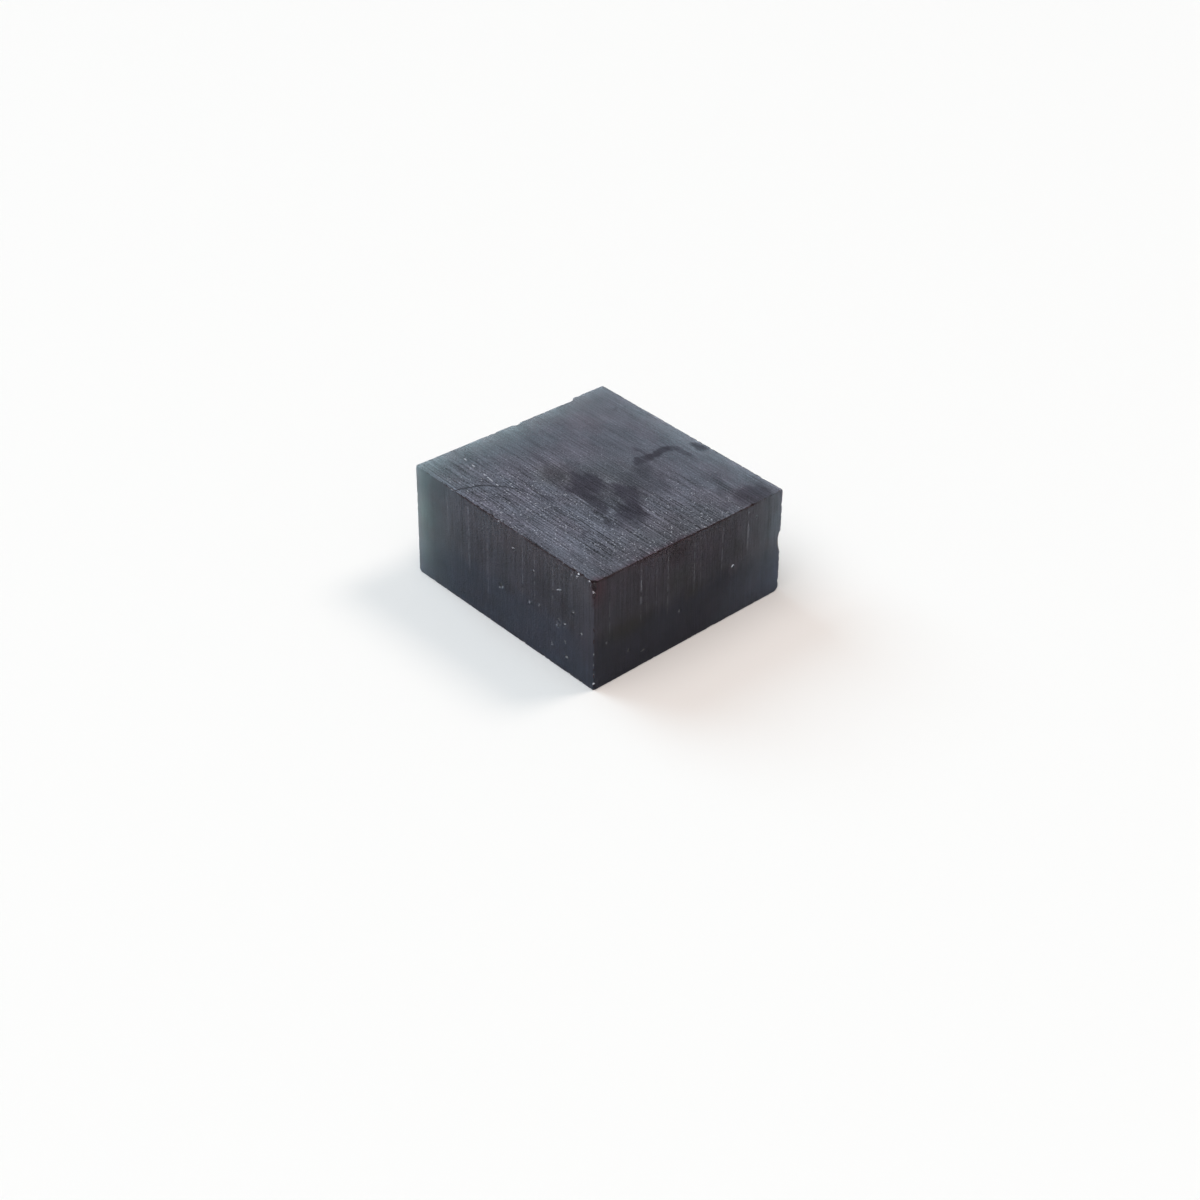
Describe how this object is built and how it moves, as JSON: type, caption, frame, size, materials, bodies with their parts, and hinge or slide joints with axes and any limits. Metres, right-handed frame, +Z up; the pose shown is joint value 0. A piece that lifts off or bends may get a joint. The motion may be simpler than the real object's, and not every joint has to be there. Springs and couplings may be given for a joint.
{
  "type": "rough alexandrite block",
  "caption": "Sawn rectangular block of rough alexandrite, unpolished, with saw marks, chipped edges and faintly translucent corners.",
  "frame": {"origin": "middle of the stone's base, at the bottom centre of its bounding box", "axes": "+Z up through the thickness, +Y along the longer side, +X along the shorter side"},
  "size_m": [0.02, 0.0214, 0.0101],
  "materials": {
    "stone": "sawn and unpolished, near-opaque dark slate blue, green in thin edges and dark red at the top front edge"
  },
  "bodies": {
    "root": {"alexandrite_block": "stone"}
  },
  "joints": []
}
